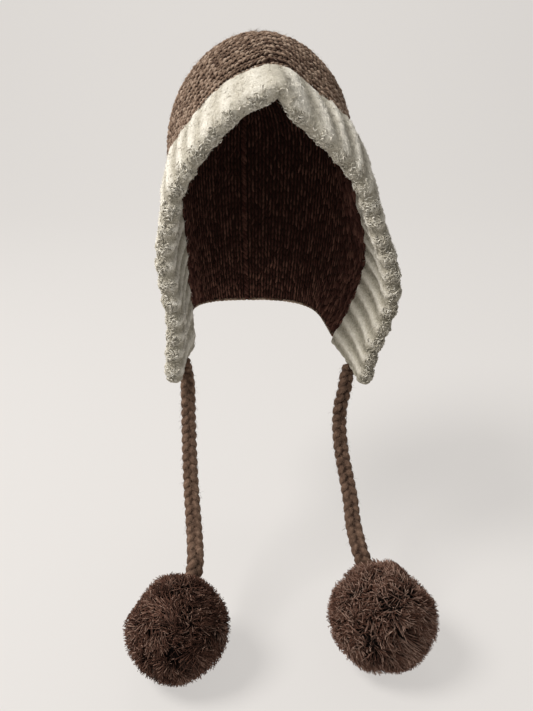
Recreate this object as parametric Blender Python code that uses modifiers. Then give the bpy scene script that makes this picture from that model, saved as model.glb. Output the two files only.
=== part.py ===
# A knitted hood: two side panels that meet in a crown and back seam, a thick folded and
# ribbed cuff round the face opening, and a plaited tie with a pompom below each tip.
# Metres, +Z up. +X is the wearer's left, -Y is the face side. The origin is the point
# inside the crown where the hood sits on the top of the head.

import math
import random

import bmesh
import bpy
from mathutils import Vector

# Driving dimensions of the knitted panels
WALL = 0.0045
HALF_WIDTH = 0.096
SEAM_LEAN = -0.075
EAR_DROP = 0.105
CROWN_RISE = 0.1095
NECK_DROP = 0.280
NAPE_DROP = 0.275
EDGE_Y = -0.050
TOP_Y = 0.026
BACK_Y = 0.108
NAPE_INSET = 0.030
SEAM_GAP = 0.0003

# Driving dimensions of the ribbed cuff
CUFF_REACH = 0.062
CUFF_REAR_HALF = 0.0058
CUFF_ROLL_RADIUS = 0.0080
CUFF_BOW = 0.0020
CUFF_END_ROUND = 0.0035
CUFF_END_SHRINK = 0.72
RIB_DEPTH = 0.0016
RIBS_PER_SIDE = 16

# Driving dimensions of the ties and pompoms
TIE_RADIUS = 0.0072
TIE_SEAT_SHARE = {"left": 0.62, "right": 0.40}
TIE_LEAD = 0.007
FLOOR_DROP = 0.524
POMPOM_RADIUS = {"left": 0.0505, "right": 0.0475}
POMPOM_PLACE = {"left": (0.088, -0.229), "right": (-0.0925, -0.2246)}
LOCK_LENGTH = 0.008
POMPOM_SEAT_INSET = 0.0035

# Shape of the dome, as shares and powers
DOME_SPREAD = 1.045
EAR_SHARE = 0.42
PLAN_POWER = 0.7
ARCH_POWER = 0.96
SHOULDER_POWER = {"left": 1.00, "right": 1.20}
BACK_POWER = 2.3
FRONT_DIP = 0.288
SEAM_TURN = 0.94
NECK_TAPER = 0.21
NECK_TAPER_POWER = 1.8
NAPE_INSET_POWER = 1.6
TOP_FADE = 0.24
NECK_FADE = 0.55
PANEL_EASE = 0.6
PANEL_END = {"left": 1.0, "right": 0.95}

# Shape of the cuff's sections, as shares, powers and degrees
RIB_SPREAD_POWER = 0.87
RIB_ROUND_POWER = 0.7
FOLD_RIB_SHARE = 0.6
FLANK_SHARES = (0.0, 0.28, 0.56, 0.82)
FLANK_GROWTH_POWER = 1.5
FLANK_TURN_SHARE = 1 / 3
FOLD_ANGLES = (72, 36, 0, -36, -72)
FRAME_STEP = 0.02

# Shape of the pompoms' locks, as shares
LOCK_CLEARANCE = 0.12
LOCK_LEAN = 0.25
LOCK_SHORTEST = 0.6

PANEL_ROWS = 17
PANEL_COLUMNS = 19
STATIONS_PER_RIB = 4

# Line of the cuff, crown to tip. along is the share of the way down, edge is where the
# panel ends and the cuff begins, roll is the middle of the front fold. out is a share
# of HALF_WIDTH and down a share of NECK_DROP.
CUFF_COLUMNS = ("along", "edge out", "edge down", "roll out", "roll down")
CUFF_LINE = {
    "left": (
        (0.00, 0.000, 0.096, 0.000, 0.148),
        (0.06, 0.169, 0.113, 0.179, 0.216),
        (0.14, 0.380, 0.170, 0.411, 0.282),
        (0.22, 0.592, 0.216, 0.574, 0.336),
        (0.30, 0.765, 0.279, 0.717, 0.391),
        (0.40, 0.869, 0.379, 0.836, 0.473),
        (0.50, 0.916, 0.489, 0.933, 0.561),
        (0.60, 1.006, 0.589, 1.051, 0.655),
        (0.70, 1.049, 0.696, 1.104, 0.757),
        (0.80, 0.996, 0.802, 1.044, 0.861),
        (0.90, 0.889, 0.904, 0.947, 0.959),
        (1.00, 0.739, 1.000, 0.899, 1.057),
    ),
    "right": (
        (0.00, 0.000, 0.096, 0.000, 0.148),
        (0.08, 0.219, 0.123, 0.295, 0.194),
        (0.16, 0.430, 0.163, 0.485, 0.250),
        (0.24, 0.601, 0.221, 0.641, 0.307),
        (0.32, 0.747, 0.280, 0.761, 0.363),
        (0.42, 0.890, 0.357, 0.891, 0.446),
        (0.52, 0.890, 0.455, 0.948, 0.541),
        (0.62, 0.880, 0.555, 0.986, 0.636),
        (0.72, 0.852, 0.654, 0.956, 0.739),
        (0.82, 0.849, 0.754, 0.914, 0.843),
        (0.92, 0.807, 0.880, 0.930, 0.943),
        (1.00, 0.790, 1.008, 0.944, 1.034),
    ),
}

# Routes of the ties between their seats, points chosen by hand, in metres.
TIE_ROUTE = {
    "left": (
        (0.0729, -0.0950, -0.3155),
        (0.0690, -0.0995, -0.3294),
        (0.0675, -0.1060, -0.3491),
        (0.0685, -0.1180, -0.3705),
        (0.0715, -0.1320, -0.3909),
        (0.0734, -0.1470, -0.4077),
        (0.0730, -0.1650, -0.4225),
        (0.0748, -0.1860, -0.4350),
    ),
    "right": (
        (-0.0793, -0.0855, -0.3060),
        (-0.0789, -0.0975, -0.3205),
        (-0.0790, -0.1040, -0.3389),
        (-0.0788, -0.1175, -0.3686),
        (-0.0780, -0.1330, -0.3954),
        (-0.0766, -0.1510, -0.4180),
        (-0.0755, -0.1700, -0.4340),
        (-0.0760, -0.1880, -0.4430),
    ),
}

SIDE_SIGN = {"left": 1, "right": -1}


def between(rows, column, value):
    """Reads one column of a table at a place along it, on a smooth curve."""
    places = [row[0] for row in rows]
    values = [row[CUFF_COLUMNS.index(column)] for row in rows]
    last = len(rows) - 1
    span = min(max(sum(place <= value for place in places) - 1, 0), last - 1)
    start, end = places[span], places[span + 1]

    def slope(index):
        low, high = max(index - 1, 0), min(index + 1, last)
        return (values[high] - values[low]) / (places[high] - places[low])

    step = end - start
    x = (value - start) / step
    return (
        values[span] * (2 * x**3 - 3 * x**2 + 1)
        + slope(span) * step * (x**3 - 2 * x**2 + x)
        + values[span + 1] * (3 * x**2 - 2 * x**3)
        + slope(span + 1) * step * (x**3 - x**2)
    )


def edge_point(side, along):
    """The middle of the cuff's rear edge."""
    out = between(CUFF_LINE[side], "edge out", along) * HALF_WIDTH
    down = between(CUFF_LINE[side], "edge down", along) * NECK_DROP
    return Vector((SIDE_SIGN[side] * out, EDGE_Y, -down))


def front_point(side, along):
    """The panel's front edge, on the cuff's, but it may end above the cuff's tip."""
    late = max(along - PANEL_EASE, 0) / (1 - PANEL_EASE)
    return edge_point(side, along - (1 - PANEL_END[side]) * late**2)


def roll_point(side, along):
    """The middle of the cuff's front fold."""
    out = between(CUFF_LINE[side], "roll out", along) * HALF_WIDTH
    down = between(CUFF_LINE[side], "roll down", along) * NECK_DROP
    return Vector((SIDE_SIGN[side] * out, EDGE_Y - CUFF_REACH, -down))


def crown_rise(y):
    """Height of the crown seam above the ears."""
    if y < TOP_Y:
        share = (TOP_Y - y) / (TOP_Y - EDGE_Y)
        return CROWN_RISE * (1 - FRONT_DIP * share**2)
    share = (y - TOP_Y) / (BACK_Y - TOP_Y)
    return CROWN_RISE * (1 - share**BACK_POWER) ** (1 / BACK_POWER)


def back_depth(rise):
    """How far back the seam lies at a height above the ears."""
    share = (1 - (rise / CROWN_RISE) ** BACK_POWER) ** (1 / BACK_POWER)
    return TOP_Y + (BACK_Y - TOP_Y) * share


def dome_point(side, across, along):
    """The plain dome: across runs from the front edge back, along from crown to neck."""
    turn = across * math.pi / 2
    plan_out = max(math.cos(turn), 0) ** PLAN_POWER if across < 1 else 0
    plan_back = math.sin(turn) ** PLAN_POWER
    seam_turn_y = EDGE_Y + (BACK_Y - EDGE_Y) * SEAM_TURN
    if along <= EAR_SHARE:
        arch = along / EAR_SHARE * math.pi / 2
        level = max(math.cos(arch), 0) ** ARCH_POWER
        rise = crown_rise(EDGE_Y + (seam_turn_y - EDGE_Y) * plan_back)
        width_share = math.sin(arch) ** SHOULDER_POWER[side]
        back = back_depth(crown_rise(seam_turn_y) * level)
        z = -EAR_DROP + rise * level
    else:
        down = (along - EAR_SHARE) / (1 - EAR_SHARE)
        front_drop = -front_point(side, 1).z
        drop = front_drop + (NAPE_DROP - front_drop) * plan_back
        width_share = 1 - NECK_TAPER * down**NECK_TAPER_POWER
        back = BACK_Y - NAPE_INSET * down**NAPE_INSET_POWER
        z = -EAR_DROP - (drop - EAR_DROP) * down
    x = HALF_WIDTH * DOME_SPREAD * width_share * plan_out
    y = EDGE_Y + (back - EDGE_Y) * plan_back
    return Vector((SIDE_SIGN[side] * x, y, z))


def panel_point(side, across, along):
    """The middle of the panel's wall: the dome, drawn to the cuff's line at the front."""
    shift = front_point(side, along) - dome_point(side, 0, along)
    reach = TOP_FADE + (NECK_FADE - TOP_FADE) * along
    left_over = 1 - min(across / reach, 1)
    fade = left_over * left_over * (3 - 2 * left_over)
    return dome_point(side, across, along) + shift * fade


def make_material(name, colour, roughness):
    material = bpy.data.materials.new(name)
    material.use_nodes = True
    shader = material.node_tree.nodes["Principled BSDF"]
    shader.inputs["Base Color"].default_value = (*colour, 1)
    shader.inputs["Roughness"].default_value = roughness
    shader.inputs["Metallic"].default_value = 0
    return material


def place(mesh_or_curve, name, material, collection):
    body = bpy.data.objects.new(name, mesh_or_curve)
    body.data.materials.append(material)
    collection.objects.link(body)
    return body


def cut(bm, point, normal):
    """Cuts off what lies behind a plane and closes the wall there."""
    geometry = bm.verts[:] + bm.edges[:] + bm.faces[:]
    bmesh.ops.bisect_plane(
        bm, geom=geometry, dist=1e-6, plane_co=point, plane_no=normal, clear_inner=True
    )
    rim = [edge for edge in bm.edges if edge.is_boundary]
    bmesh.ops.holes_fill(bm, edges=rim, sides=0)


def make_panel(side, material, collection):
    """A wall on a grid, mirrored over the seam so that it meets the seam squarely."""
    mesh = bpy.data.meshes.new("hood_panel_" + side)
    panel = place(mesh, "hood_panel_" + side, material, collection)
    bm = bmesh.new()
    bmesh.ops.create_grid(bm, x_segments=PANEL_ROWS, y_segments=PANEL_COLUMNS, size=1)
    overlap = 2 * WALL
    for vert in bm.verts:
        row = round((vert.co.x + 1) / 2 * PANEL_ROWS)
        column = round((vert.co.y + 1) / 2 * PANEL_COLUMNS)
        along = column / PANEL_COLUMNS
        across = (row - 1) / (PANEL_ROWS - 1)
        if row == 0:
            front = panel_point(side, 0, along)
            step = front - panel_point(side, FRAME_STEP, along)
            vert.co = front + step * (overlap / abs(step.y))
        else:
            vert.co = panel_point(side, across, along)
    bm.to_mesh(mesh)
    bm.free()
    mirror = panel.modifiers.new("Seam", "MIRROR")
    mirror.merge_threshold = 1e-5
    shell = panel.modifiers.new("Wall", "SOLIDIFY")
    shell.thickness = WALL
    shell.offset = 0
    shell.use_even_offset = True
    bm = bmesh.new()
    bm.from_object(panel, bpy.context.evaluated_depsgraph_get())
    sign = SIDE_SIGN[side]
    cut(bm, Vector((sign * SEAM_GAP / 2, 0, 0)), Vector((sign, 0, 0)))
    cut(bm, Vector((0, EDGE_Y, 0)), Vector((0, 1, 0)))
    bmesh.ops.recalc_face_normals(bm, faces=bm.faces)
    for vert in bm.verts:
        nearness = 1 - min(abs(vert.co.x) / HALF_WIDTH, 1)
        vert.co.x += SEAM_LEAN * (vert.co.y - EDGE_Y) * nearness
    panel.modifiers.clear()
    bm.to_mesh(mesh)
    bm.free()
    mesh.shade_smooth()
    mesh.set_sharp_from_angle(angle=math.radians(40))
    return panel


def cuff_frame(side, along):
    """Edge, roll, and the directions forward, outward and down the cuff there."""
    near, far = max(along - FRAME_STEP, 0), min(along + FRAME_STEP, 1)
    edge, roll = edge_point(side, along), roll_point(side, along)
    down = (edge_point(side, far) - edge_point(side, near)).normalized()
    down += (roll_point(side, far) - roll_point(side, near)).normalized()
    forward = (roll - edge).normalized()
    down = (down - forward * down.dot(forward)).normalized()
    outward = forward.cross(down) * SIDE_SIGN[side]
    return edge, roll, forward, outward, down


def cuff_ring(side, along, swell, shrink, shift):
    """One closed section of the cuff, from its outer rear corner round the fold."""
    edge, roll, forward, outward, down = cuff_frame(side, along)
    sweep = shift * down
    rear_out = Vector((outward.x, 0, outward.z)).normalized()
    flanks = []
    for face in (1, -1):
        flank = []
        for share in FLANK_SHARES:
            growth = (CUFF_ROLL_RADIUS - CUFF_REAR_HALF) * share**FLANK_GROWTH_POWER
            half = (CUFF_REAR_HALF + growth + swell * RIB_DEPTH) * shrink
            bow = CUFF_BOW * math.sin(math.pi * share)
            middle = edge.lerp(roll, share)
            away = rear_out.lerp(outward, min(share / FLANK_TURN_SHARE, 1)).normalized()
            point = middle + outward * bow + away * half * face + sweep
            if share == 0:
                point = middle + rear_out * half * face + Vector((sweep.x, 0, sweep.z))
                point.y = EDGE_Y - SEAM_GAP
            flank.append(point)
        flanks.append(flank)
    radius = (CUFF_ROLL_RADIUS + FOLD_RIB_SHARE * swell * RIB_DEPTH) * shrink
    fold = []
    for angle in FOLD_ANGLES:
        turn = math.radians(angle)
        arm = outward * math.sin(turn) + forward * math.cos(turn)
        fold.append(roll + arm * radius + sweep)
    return flanks[0] + fold + flanks[1][::-1]


def make_cuff(material, collection):
    """A loft of sections, four to a rib, over the crown from one tip to the other."""
    rings = []
    for side in ("right", "left"):
        sections = []
        for rib in range(RIBS_PER_SIDE):
            for station in range(STATIONS_PER_RIB):
                phase = station / STATIONS_PER_RIB
                along = ((rib + phase) / RIBS_PER_SIDE) ** RIB_SPREAD_POWER
                swell = 2 * math.sin(math.pi * phase) ** RIB_ROUND_POWER - 1
                sections.append(cuff_ring(side, along, swell, 1, 0))
        sections.append(cuff_ring(side, 1, -1, 1, 0))
        sections.append(cuff_ring(side, 1, -1, CUFF_END_SHRINK, CUFF_END_ROUND))
        if side == "right":
            rings += sections[:0:-1]
        else:
            rings += sections
    mesh = bpy.data.meshes.new("brim_cuff")
    cuff = place(mesh, "brim_cuff", material, collection)
    bm = bmesh.new()
    loops = [[bm.verts.new(point) for point in ring] for ring in rings]
    count = len(loops[0])
    for first, second in zip(loops, loops[1:]):
        for index in range(count):
            other = (index + 1) % count
            bm.faces.new((first[index], first[other], second[other], second[index]))
    bm.faces.new(loops[0][::-1])
    bm.faces.new(loops[-1])
    bmesh.ops.recalc_face_normals(bm, faces=bm.faces)
    bm.to_mesh(mesh)
    bm.free()
    mesh.shade_smooth()
    mesh.set_sharp_from_angle(angle=math.radians(60))
    return cuff


def pompom_seat(side):
    """Centre of the pompom, the way to its tie and the middle of the tie's flat seat."""
    radius = POMPOM_RADIUS[side]
    centre = Vector((*POMPOM_PLACE[side], radius - FLOOR_DROP))
    way = (Vector(TIE_ROUTE[side][-1]) - centre).normalized()
    seat = centre + way * (radius - LOCK_LENGTH - POMPOM_SEAT_INSET)
    return centre, way, seat


def make_pompom(side, material, collection):
    """A ball whose faces are drawn out into locks, flat where the tie goes in."""
    centre, way, seat = pompom_seat(side)
    core = POMPOM_RADIUS[side] - LOCK_LENGTH
    chance = random.Random(len(side))
    mesh = bpy.data.meshes.new("pompom_" + side)
    pompom = place(mesh, "pompom_" + side, material, collection)
    bm = bmesh.new()
    bmesh.ops.create_icosphere(bm, subdivisions=3, radius=core)
    seat_depth = (seat - centre).length
    lock_limit = seat_depth - core * LOCK_CLEARANCE
    locks = [face for face in bm.faces if face.calc_center_median().dot(way) < lock_limit]
    tips = bmesh.ops.poke(bm, faces=locks, offset=LOCK_LENGTH)["verts"]
    for tip in tips:
        lean = Vector([chance.uniform(-1, 1) for _ in range(3)]) * LOCK_LENGTH * LOCK_LEAN
        reach = core + LOCK_LENGTH * chance.uniform(LOCK_SHORTEST, 1)
        tip.co = (tip.co + lean).normalized() * reach
    for vert in bm.verts:
        over = vert.co.dot(way) - seat_depth
        if over > 0:
            vert.co -= way * over
        vert.co += centre
    bmesh.ops.recalc_face_normals(bm, faces=bm.faces)
    bm.to_mesh(mesh)
    bm.free()
    return pompom


def tie_path(side):
    """The route from the seat under the cuff to the seat on the pompom."""
    edge, roll, _, _, down = cuff_frame(side, 1)
    cuff_seat = edge.lerp(roll, TIE_SEAT_SHARE[side]) + down * CUFF_END_ROUND
    start = cuff_seat + down * SEAM_GAP
    _, way, seat = pompom_seat(side)
    end = seat + way * SEAM_GAP
    lead = start + down * TIE_LEAD
    landing = end + way * TIE_LEAD
    points = [lead, *(Vector(p) for p in TIE_ROUTE[side]), landing]
    guides = [start, *points, end]
    path = [start]
    for index in range(1, len(guides) - 2):
        p0, p1, p2, p3 = guides[index - 1 : index + 3]
        for share in (0.0, 0.5):
            path.append(
                0.5
                * (
                    2 * p1
                    + (p2 - p0) * share
                    + (2 * p0 - 5 * p1 + 4 * p2 - p3) * share**2
                    + (3 * p1 - p0 - 3 * p2 + p3) * share**3
                )
            )
    path += [landing, end]
    return path


def make_tie(side, material, collection):
    curve = bpy.data.curves.new("tie_" + side, "CURVE")
    curve.dimensions = "3D"
    curve.bevel_depth = TIE_RADIUS
    curve.bevel_resolution = 2
    curve.use_fill_caps = True
    path = tie_path(side)
    spline = curve.splines.new("POLY")
    spline.points.add(len(path) - 1)
    for point, place_on_path in zip(spline.points, path):
        point.co = (*place_on_path, 1)
    return place(curve, "tie_" + side, material, collection)


def main():
    for old in list(bpy.data.objects):
        bpy.data.objects.remove(old)
    collection = bpy.data.collections.new("knit_hood")
    bpy.context.scene.collection.children.link(collection)
    brown_knit = make_material("brown_wool_knit", (0.22, 0.14, 0.105), 0.95)
    cream_knit = make_material("cream_wool_rib", (0.72, 0.68, 0.58), 0.95)
    brown_plait = make_material("brown_yarn_plait", (0.16, 0.09, 0.06), 0.95)
    brown_pile = make_material("brown_yarn_pile", (0.08, 0.045, 0.032), 0.95)
    for side in ("left", "right"):
        make_panel(side, brown_knit, collection)
        make_tie(side, brown_plait, collection)
        make_pompom(side, brown_pile, collection)
    make_cuff(cream_knit, collection)


main()
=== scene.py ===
import math

import bpy
import numpy as np
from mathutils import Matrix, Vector


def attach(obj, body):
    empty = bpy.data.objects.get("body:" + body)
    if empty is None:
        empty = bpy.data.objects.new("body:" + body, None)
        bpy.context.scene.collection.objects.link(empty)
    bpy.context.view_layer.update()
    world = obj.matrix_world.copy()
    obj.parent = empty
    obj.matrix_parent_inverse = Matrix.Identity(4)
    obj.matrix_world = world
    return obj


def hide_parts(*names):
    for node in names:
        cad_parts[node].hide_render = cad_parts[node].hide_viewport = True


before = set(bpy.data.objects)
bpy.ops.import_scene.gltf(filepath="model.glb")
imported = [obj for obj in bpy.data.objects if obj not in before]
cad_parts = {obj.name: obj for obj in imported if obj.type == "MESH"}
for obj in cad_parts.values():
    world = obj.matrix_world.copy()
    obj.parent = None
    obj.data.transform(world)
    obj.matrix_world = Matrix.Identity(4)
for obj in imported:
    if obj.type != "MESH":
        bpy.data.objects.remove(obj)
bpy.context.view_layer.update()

# The hood's form, in metres. +X is the wearer's left, -Y the face side. The same sizes
# and lines as the solids of the frame have, so that the yarn lies where the walls are.
hoodForm = {
    "halfWidth": 0.096,
    "earDrop": 0.105,
    "crownRise": 0.1095,
    "neckDrop": 0.280,
    "napeDrop": 0.275,
    "edgeY": -0.050,
    "topY": 0.026,
    "backY": 0.108,
    "napeInset": 0.030,
    "seamLean": -0.075,
    "cuffReach": 0.062,
    "domeSpread": 1.045,
    "earShare": 0.42,
    "planPower": 0.7,
    "archPower": 0.96,
    "shoulderPower": {"left": 1.00, "right": 1.20},
    "backPower": 2.3,
    "frontDip": 0.288,
    "seamTurn": 0.94,
    "neckTaper": 0.21,
    "neckTaperPower": 1.8,
    "napeInsetPower": 1.6,
    "topFade": 0.24,
    "neckFade": 0.55,
    "panelEase": 0.6,
    "panelEnd": {"left": 1.0, "right": 0.95},
    "ribsPerSide": 16,
    "ribPower": 0.87,
}

# columns: along, edge out, edge down, roll out, roll down
cuffLine = {
    "left": (
        (0.00, 0.000, 0.096, 0.000, 0.148),
        (0.06, 0.169, 0.113, 0.179, 0.216),
        (0.14, 0.380, 0.170, 0.411, 0.282),
        (0.22, 0.592, 0.216, 0.574, 0.336),
        (0.30, 0.765, 0.279, 0.717, 0.391),
        (0.40, 0.869, 0.379, 0.836, 0.473),
        (0.50, 0.916, 0.489, 0.933, 0.561),
        (0.60, 1.006, 0.589, 1.051, 0.655),
        (0.70, 1.049, 0.696, 1.104, 0.757),
        (0.80, 0.996, 0.802, 1.044, 0.861),
        (0.90, 0.889, 0.904, 0.947, 0.959),
        (1.00, 0.739, 1.000, 0.899, 1.057),
    ),
    "right": (
        (0.00, 0.000, 0.096, 0.000, 0.148),
        (0.08, 0.219, 0.123, 0.295, 0.194),
        (0.16, 0.430, 0.163, 0.485, 0.250),
        (0.24, 0.601, 0.221, 0.641, 0.307),
        (0.32, 0.747, 0.280, 0.761, 0.363),
        (0.42, 0.890, 0.357, 0.891, 0.446),
        (0.52, 0.890, 0.455, 0.948, 0.541),
        (0.62, 0.880, 0.555, 0.986, 0.636),
        (0.72, 0.852, 0.654, 0.956, 0.739),
        (0.82, 0.849, 0.754, 0.914, 0.843),
        (0.92, 0.807, 0.880, 0.930, 0.943),
        (1.00, 0.790, 1.008, 0.944, 1.034),
    ),
}

# The ties' routes between the cuff and the pompoms, points given one by one, in metres.
tieRoute = {
    "left": (
        (0.0729, -0.0950, -0.3155),
        (0.0690, -0.0995, -0.3294),
        (0.0675, -0.1060, -0.3491),
        (0.0685, -0.1180, -0.3705),
        (0.0715, -0.1320, -0.3909),
        (0.0734, -0.1470, -0.4077),
        (0.0730, -0.1650, -0.4225),
        (0.0748, -0.1860, -0.4350),
    ),
    "right": (
        (-0.0793, -0.0855, -0.3060),
        (-0.0789, -0.0975, -0.3205),
        (-0.0790, -0.1040, -0.3389),
        (-0.0788, -0.1175, -0.3686),
        (-0.0780, -0.1330, -0.3954),
        (-0.0766, -0.1510, -0.4180),
        (-0.0755, -0.1700, -0.4340),
        (-0.0760, -0.1880, -0.4430),
    ),
}

# The pompoms, with the partings and the pressed places in their pile as directions
# from the middle, and the way in which the longer pile is swept.
pompomForm = {
    "left": {
        "radius": 0.0505, "x": 0.0880, "y": -0.2290, "fade": 0.03,
        "partings": [
            ((-0.36, -0.56, 0.75), (-0.22, -0.55, 0.81), (-0.07, -0.53, 0.85), (0.12, -0.50, 0.86),
             (0.30, -0.25, 0.92), (0.55, 0.10, 0.83)),
            ((-0.50, -0.71, 0.50), (-0.62, -0.66, 0.42)),
            ((-0.74, -0.63, 0.25), (-0.58, -0.77, 0.27), (-0.47, -0.85, 0.25)),
            ((-0.22, -0.97, -0.13), (-0.04, -0.99, -0.08)),
        ],
        "pressed": ((0.67, 0.21, 0.71, 0.85), (-0.69, 0.34, 0.64, 0.94)),
        "swept": (0.45, 0.0, -0.45),
    },
    "right": {
        "radius": 0.0475, "x": -0.0925, "y": -0.2246, "fade": -0.14,
        "partings": [
            ((0.64, -0.30, 0.70), (0.62, -0.44, 0.65), (0.60, -0.59, 0.53), (0.55, -0.72, 0.44)),
            ((0.42, -0.82, 0.39), (0.24, -0.88, 0.41)),
            ((-0.33, -0.92, 0.21), (-0.16, -0.96, 0.20)),
            ((0.33, -0.09, 0.94), (0.28, -0.36, 0.89)),
        ],
        "pressed": ((-0.80, 0.30, 0.52, 0.88),),
        "swept": (-0.10, 0.0, -0.45),
    },
    "floorDrop": 0.524,
    "seatInset": 0.0115,
}

sideSign = {"left": 1, "right": -1}


# Reading the form

def clamp(value):
    return np.clip(value, 0, 1)


def readTable(rows, key, value):
    rows = np.array(rows)
    places, values = rows[:, 0], rows[:, key]
    last = len(rows) - 1
    value = clamp(value)
    span = np.clip(np.searchsorted(places, value, side="right") - 1, 0, last - 1)
    index = np.arange(last + 1)
    low, high = np.maximum(index - 1, 0), np.minimum(index + 1, last)
    slope = (values[high] - values[low]) / (places[high] - places[low])
    step = places[span + 1] - places[span]
    x = (value - places[span]) / step
    return (
        values[span] * (2 * x**3 - 3 * x**2 + 1)
        + slope[span] * step * (x**3 - 2 * x**2 + x)
        + values[span + 1] * (3 * x**2 - 2 * x**3)
        + slope[span + 1] * step * (x**3 - x**2)
    )


def cuffPoint(side, along, column, y):
    out = readTable(cuffLine[side], column, along) * hoodForm["halfWidth"]
    down = readTable(cuffLine[side], column + 1, along) * hoodForm["neckDrop"]
    return np.stack([sideSign[side] * out, np.full_like(out, y), -down], -1)


def edgeLine(side, along):
    return cuffPoint(side, along, 1, hoodForm["edgeY"])


def frontLine(side, along):
    # the panel follows the cuff's edge but may end above the cuff's tip
    late = clamp((along - hoodForm["panelEase"]) / (1 - hoodForm["panelEase"]))
    return edgeLine(side, along - (1 - hoodForm["panelEnd"][side]) * late**2)


def rollLine(side, along):
    return cuffPoint(side, along, 3, hoodForm["edgeY"] - hoodForm["cuffReach"])


def crownRise(y):
    f = hoodForm
    before = (f["topY"] - y) / (f["topY"] - f["edgeY"])
    behind = clamp((y - f["topY"]) / (f["backY"] - f["topY"]))
    fall = (1 - behind ** f["backPower"]) ** (1 / f["backPower"])
    return f["crownRise"] * np.where(y < f["topY"], 1 - f["frontDip"] * before**2, fall)


def backDepth(rise):
    f = hoodForm
    share = (1 - clamp(rise / f["crownRise"]) ** f["backPower"]) ** (1 / f["backPower"])
    return f["topY"] + (f["backY"] - f["topY"]) * share


def domePoint(side, across, along):
    f = hoodForm
    turn = clamp(across) * math.pi / 2
    planOut = clamp(np.cos(turn)) ** f["planPower"] * (across < 1)
    planBack = np.sin(turn) ** f["planPower"]
    seamTurnY = f["edgeY"] + (f["backY"] - f["edgeY"]) * f["seamTurn"]
    upper = along <= f["earShare"]
    arch = clamp(along / f["earShare"]) * math.pi / 2
    level = clamp(np.cos(arch)) ** f["archPower"]
    rise = crownRise(f["edgeY"] + (seamTurnY - f["edgeY"]) * planBack)
    down = clamp((along - f["earShare"]) / (1 - f["earShare"]))
    frontDrop = -frontLine(side, np.array([1.0]))[0, 2]
    drop = frontDrop + (f["napeDrop"] - frontDrop) * planBack
    widthUp = np.sin(arch) ** f["shoulderPower"][side]
    widthDown = 1 - f["neckTaper"] * down ** f["neckTaperPower"]
    x = f["halfWidth"] * f["domeSpread"] * np.where(upper, widthUp, widthDown) * planOut
    backUp = backDepth(crownRise(np.float64(seamTurnY)) * level)
    backDown = f["backY"] - f["napeInset"] * down ** f["napeInsetPower"]
    y = f["edgeY"] + (np.where(upper, backUp, backDown) - f["edgeY"]) * planBack
    z = np.where(upper, -f["earDrop"] + rise * level, -f["earDrop"] - (drop - f["earDrop"]) * down)
    return np.stack([sideSign[side] * x, y, z], -1)


def panelSurface(side, across, along):
    f = hoodForm
    across, along = np.broadcast_arrays(np.asarray(across, float), np.asarray(along, float))
    shift = frontLine(side, along) - domePoint(side, np.zeros_like(along), along)
    reach = f["topFade"] + (f["neckFade"] - f["topFade"]) * along
    leftOver = 1 - clamp(across / reach)
    fade = leftOver * leftOver * (3 - 2 * leftOver)
    place = domePoint(side, across, along) + shift * fade[..., None]
    nearness = 1 - clamp(np.abs(place[..., 0]) / f["halfWidth"])
    place[..., 0] += f["seamLean"] * (place[..., 1] - f["edgeY"]) * nearness
    return place


def unit(v):
    return v / np.maximum(np.linalg.norm(v, axis=-1, keepdims=True), 1e-12)


def beside(value, small):
    return clamp(value - small), clamp(value + small)


def panelOutward(side, across, along):
    small = 0.012
    across = np.clip(across, 0, 0.975)
    along = np.clip(along, 0.03, 1)
    a0, a1 = beside(across, small)
    b0, b1 = beside(along, small)
    back = panelSurface(side, a1, along) - panelSurface(side, a0, along)
    down = panelSurface(side, across, b1) - panelSurface(side, across, b0)
    return unit(np.cross(down, back)) * sideSign[side]


def cuffFrame(side, along):
    near, far = beside(along, 0.02)
    edge, roll = edgeLine(side, along), rollLine(side, along)
    down = unit(edgeLine(side, far) - edgeLine(side, near))
    down = down + unit(rollLine(side, far) - rollLine(side, near))
    forward = unit(roll - edge)
    down = unit(down - forward * (down * forward).sum(-1, keepdims=True))
    outward = np.cross(forward, down) * sideSign[side]
    return edge, roll, forward, outward, down


# Making meshes

def srgb(code):
    parts = [int(code[i:i + 2], 16) / 255 for i in (1, 3, 5)]
    linear = [p / 12.92 if p <= 0.04045 else ((p + 0.055) / 1.055) ** 2.4 for p in parts]
    return (*linear, 1)


def meshFromFaces(name, verts, faces, material, uvs=None, tint=None):
    # faces is a list of integer arrays, each one holding polygons of one size
    mesh = bpy.data.meshes.new(name)
    sizes = np.concatenate([np.full(len(part), part.shape[1]) for part in faces])
    corners = np.concatenate([part.ravel() for part in faces]).astype(np.int32)
    starts = np.concatenate([[0], np.cumsum(sizes)[:-1]]).astype(np.int32)
    mesh.vertices.add(len(verts))
    mesh.vertices.foreach_set("co", np.asarray(verts, np.float32).ravel())
    mesh.loops.add(len(corners))
    mesh.loops.foreach_set("vertex_index", corners)
    mesh.polygons.add(len(sizes))
    mesh.polygons.foreach_set("loop_start", starts)
    mesh.update(calc_edges=True)
    if uvs is not None:
        layer = mesh.uv_layers.new(name="yarn")
        layer.data.foreach_set("uv", np.asarray(uvs, np.float32).ravel())
    if tint is not None:
        layer = mesh.attributes.new("tint", "FLOAT", "POINT")
        layer.data.foreach_set("value", np.asarray(tint, np.float32))
    mesh.shade_smooth()
    mesh.materials.append(material)
    piece = bpy.data.objects.new(name, mesh)
    bpy.context.scene.collection.objects.link(piece)
    return piece


def tubeQuads(count, rings, sides):
    # the faces round a number of tubes, whose vertices come ring after ring
    first = (np.arange(count)[:, None, None] * rings + np.arange(rings - 1)[None, :, None]) * sides
    spot = np.arange(sides)
    after = (spot + 1) % sides
    quads = np.stack([first + spot, first + after, first + sides + after, first + sides + spot], -1)
    return quads.reshape(-1, 4)


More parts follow.
